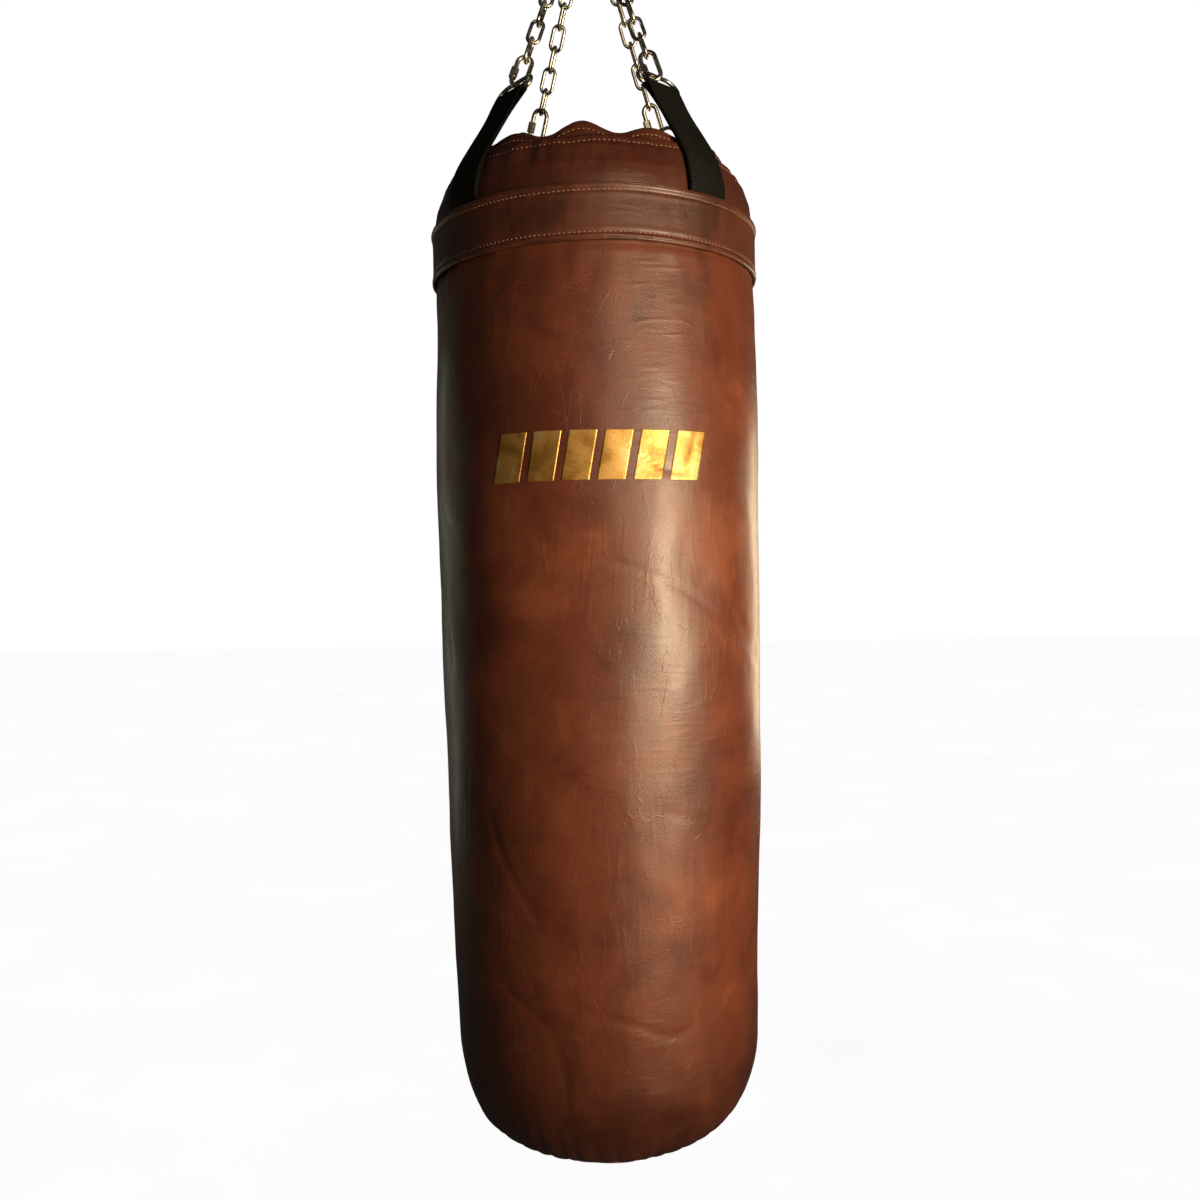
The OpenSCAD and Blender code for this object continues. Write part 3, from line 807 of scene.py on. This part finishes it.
def smooth_line(line, step):
    """Points at even steps along a rounded line."""
    dense = []
    for k in range(len(line) - 1):
        a, b = line[max(k - 1, 0)], line[k]
        c, d = line[k + 1], line[min(k + 2, len(line) - 1)]
        for i in range(24):
            t = i / 24
            dense.append(0.5 * (2 * b + (c - a) * t + (2 * a - 5 * b + 4 * c - d) * t * t
                                + (3 * b - a - 3 * c + d) * t ** 3))
    dense.append(line[-1])
    out, left = [dense[0]], step
    for a, b in zip(dense, dense[1:]):
        length = (b - a).length
        while left <= length:
            out.append(a.lerp(b, left / length))
            left += step
        left -= length
    return out


def make_strap(leg, degrees):
    line = smooth_line(strap_outline(leg), RIB / 4)
    angle = math.radians(degrees)
    out = Vector((math.cos(angle), math.sin(angle), 0))
    across = Vector((-math.sin(angle), math.cos(angle), 0))
    start_z = BAND_TOP + 20 * MM
    bar_z = BOX["d_ring_" + leg][0].z + DEE_WIRE_R
    seed = Vector((degrees * 0.37, 2.0, 1.0))
    columns = 22

    def point(i, v, face):
        """v runs over the width from -1 to 1; face is 1 outside and -1 inside."""
        p, side = line[i], side_of(line, i)
        rise = ease(start_z, bar_z, p.y)
        half = STRAP_W / 2 - 2.2 * MM * rise
        edge = 0.35 * MM * noise.noise(Vector((p.y * 60, v, 0)) + seed)
        x = v * (half + edge)
        curve = (1 - rise) / max(p.x, 0.1)
        if curve > 1e-3:
            flat_r = math.cos(x * curve) / curve - 1 / curve
            flat_x = math.sin(x * curve) / curve
        else:
            flat_r, flat_x = 0, x
        rib = 0.52 * MM * math.sin(i * TURN / 4 + 0.4) * (1 - abs(v) ** 14)
        selvedge = 0.22 * MM * bell(abs(v) - 0.955, 0.03)
        thin = 1 - 0.55 * max(0, (abs(v) - 0.97) / 0.03)
        sway = 0.8 * MM * noise.noise(Vector((p.y * 14, x * 20, 0)) + seed) * ease(0, 0.5, rise)
        depth = face * (PLY / 2 * thin + rib + selvedge) + sway
        r = p.x + flat_r + side.x * depth
        return out * r + across * flat_x + Vector((0, 0, p.y + side.y * depth))

    points, rows = [], len(line)
    for i in range(rows):
        points += [point(i, -1 + 2 * j / (columns - 1), 1) for j in range(columns)]
        points += [point(i, 1 - 2 * j / (columns - 1), -1) for j in range(columns)]
    wide = 2 * columns
    polygons = ring_faces(rows, wide)
    polygons.append(list(range(wide)))
    polygons.append([(rows - 1) * wide + j for j in range(wide)][::-1])
    piece("webbing_" + leg, points, polygons, WEBBING, slot="webbing", stands_for=["strap_" + leg])


def make_loose_thread():
    """A short thread end that stands off the front left strap's edge."""
    angle = math.radians(LEGS["front_left"])
    across = Vector((-math.sin(angle), math.cos(angle), 0))
    out = Vector((math.cos(angle), math.sin(angle), 0))
    start = out * 0.124 + across * 0.0235 + Vector((0, 0, bottom_of("d_ring_front_left") - 14 * MM))
    points, sides, rings = [], 6, 14
    for i in range(rings):
        t = i / (rings - 1)
        bend = Vector((0, 0, math.sin(t * 5) * 1.4 * MM)) + out * math.sin(t * 4) * 1.5 * MM
        middle = start + across * t * 8 * MM + bend
        size = 0.28 * MM * (1 - 0.5 * t)
        for s in range(sides):
            turn = TURN * s / sides
            points.append(middle + (out * math.cos(turn) + Vector((0, 0, 1)) * math.sin(turn)) * size)
    polygons = ring_faces(rings, sides)
    polygons += [list(range(sides)), [(rings - 1) * sides + s for s in range(sides)][::-1]]
    piece("loose_thread", points, polygons, WEBBING, slot="webbing")


# ---------------------------------------------------------------- emblem

BARS, BAR_PITCH, BAR_W, BAR_SLANT = 6, 35 * MM, 28 * MM, 9 * MM
FOIL_LIFT, FOIL_SINK = 0.16 * MM, 0.1 * MM


def make_emblem(hide_tree):
    """Slanted foil bars that follow the leather's dents."""
    low, high = BOX["emblem_foil"]
    centre = (low + high) / 2
    rows, columns = 30, 18
    points, polygons = [], []
    for bar in range(BARS):
        start = len(points)
        for i in range(rows + 2):
            t = min(max((i - 0.5) / (rows - 1), 0), 1)
            for j in range(columns + 2):
                v = min(max((j - 1) / (columns - 1), 0), 1)
                x = centre.x + (bar - (BARS - 1) / 2) * BAR_PITCH + (v - 0.5) * BAR_W
                x += (t - 0.5) * BAR_SLANT
                z = low.z + (high.z - low.z) * t
                hit, normal = hide_tree.ray_cast(Vector((x, -1, z)), Vector((0, 1, 0)))[:2]
                rim = i in (0, rows + 1) or j in (0, columns + 1)
                points.append(hit + normal * (-FOIL_SINK if rim else FOIL_LIFT))
        for i in range(rows + 1):
            for j in range(columns + 1):
                a = start + i * (columns + 2) + j
                polygons.append((a, a + 1, a + columns + 3, a + columns + 2))
    piece("emblem", points, polygons, FOIL, slot="foil", stands_for=["emblem_foil"])


# ---------------------------------------------------------------- inside


def make_foam():
    """The foam layer follows the leather wall from inside."""
    rows = hide_rows()[::-3]
    last = len(rows) - 1

    def point(u, angle):
        row = rows[round(u * last)]
        inward = -(HIDE_T + 0.6 * MM)
        return body_point(row, angle) + polar(inward * row[2], angle, inward * row[3])

    shell("foam_wrap", point, len(rows), 120, 11 * MM, material=FOAM, slot="foam",
          stands_for=["foam_layer"])


hide = make_hide()
make_base()
bpy.context.view_layer.update()
HIDE_TREE = BVHTree.FromObject(hide, bpy.context.evaluated_depsgraph_get())
make_back_seam(HIDE_TREE)
make_band()
make_collar()
make_lid()
for leg_name, leg_degrees in LEGS.items():
    make_strap(leg_name, leg_degrees)
make_loose_thread()
make_emblem(HIDE_TREE)
make_foam()

# ---------------------------------------------------------------- metal parts from the frame

METAL = {"chain_": CHAIN_STEEL, "quick_link_": CHAIN_STEEL, "quick_nut_": NUT_STEEL,
         "d_ring_": RING_STEEL, "master_ring": RING_STEEL, "swivel_body": SWIVEL_STEEL,
         "swivel_": RING_STEEL, "thrust_washer": RING_STEEL, "zip_": ZIP_METAL,
         "filling_core": FILLING}
for node_name, node_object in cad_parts.items():
    for prefix, look in METAL.items():
        if node_name.startswith(prefix) and node_name != "zip_tape":
            node_object.data.materials.clear()
            node_object.data.materials.append(look)
            break

# ---------------------------------------------------------------- stage, camera and light

FLOOR_Z = bottom_of("base_disc") - 0.38


def make_floor():
    size = 14.0
    mesh = bpy.data.meshes.new("floor")
    mesh.from_pydata([(-size, -size, FLOOR_Z), (size, -size, FLOOR_Z), (size, size, FLOOR_Z),
                      (-size, size, FLOOR_Z)], [], [(0, 1, 2, 3)])
    floor = bpy.data.objects.new("floor", mesh)
    bpy.context.scene.collection.objects.link(floor)
    mesh.materials.append(floor_look())
    floor.visible_diffuse = floor.visible_glossy = False


def make_camera():
    """The camera stands close in front of the bag, a little to its right, at chest height."""
    azimuth, distance, height = math.radians(4.0), 1.201, -0.880
    roll = math.radians(-1.1)
    data = bpy.data.cameras.new("camera")
    data.lens, data.sensor_width = 31.8, 36
    data.shift_y = -0.0217
    data.clip_start = 0.02
    camera = bpy.data.objects.new("camera", data)
    bpy.context.scene.collection.objects.link(camera)
    place = Vector((math.sin(azimuth) * distance, -math.cos(azimuth) * distance, height))
    look = Matrix.Rotation(azimuth, 4, "Z") @ Matrix.Rotation(math.pi / 2, 4, "X")
    camera.matrix_world = Matrix.Translation(place) @ look @ Matrix.Rotation(roll, 4, "Z")
    bpy.context.scene.camera = camera


def softbox(name, azimuth, elevation, distance, wide, high, power, colour):
    """An area light aimed at the bag's middle. Azimuth 0 is in front of the bag, 90 to its right."""
    data = bpy.data.lights.new(name, "AREA")
    data.shape, data.size, data.size_y = "RECTANGLE", wide, high
    data.energy, data.color = power, colour
    lamp = bpy.data.objects.new(name, data)
    bpy.context.scene.collection.objects.link(lamp)
    a, e = math.radians(azimuth), math.radians(elevation)
    back = Vector((math.sin(a) * math.cos(e), -math.cos(a) * math.cos(e), math.sin(e)))
    middle = Vector((0, 0, -0.95))
    lamp.location = middle + back * distance
    lamp.rotation_euler = (-back).to_track_quat("-Z", "Y").to_euler()


def make_world():
    """White behind the bag for the camera, and a dim warm room for light."""
    world = bpy.data.worlds.new("studio")
    bpy.context.scene.world = world
    world.use_nodes = True
    tree = world.node_tree
    room = tree.nodes["Background"]
    room.inputs["Color"].default_value = (0.95, 0.90, 0.80, 1)
    room.inputs["Strength"].default_value = 0.035
    white = tree.nodes.new("ShaderNodeBackground")
    white.inputs["Color"].default_value = (1, 1, 1, 1)
    path = tree.nodes.new("ShaderNodeLightPath")
    mix = tree.nodes.new("ShaderNodeMixShader")
    tree.links.new(path.outputs["Is Camera Ray"], mix.inputs["Fac"])
    tree.links.new(room.outputs[0], mix.inputs[1])
    tree.links.new(white.outputs[0], mix.inputs[2])
    tree.links.new(mix.outputs[0], tree.nodes["World Output"].inputs["Surface"])


make_floor()
make_camera()
make_world()
WARM = (1.0, 0.79, 0.52)
softbox("key", 49, 1, 2.0, 0.42, 0.7, 55, WARM)
softbox("wide_front", 24, 14, 2.4, 1.0, 1.2, 12.5, WARM)
softbox("key_low", 32, -13, 2.1, 0.36, 0.36, 6.5, WARM)
softbox("rim_right", 143, 0, 2.0, 0.6, 0.9, 11, WARM)
softbox("rim_left", -128, 0, 2.4, 0.35, 1.6, 2.2, (0.95, 0.92, 0.72))
softbox("back", 186, 24, 2.6, 1.3, 1.3, 9, WARM)
bpy.context.scene.view_settings.view_transform = "Standard"
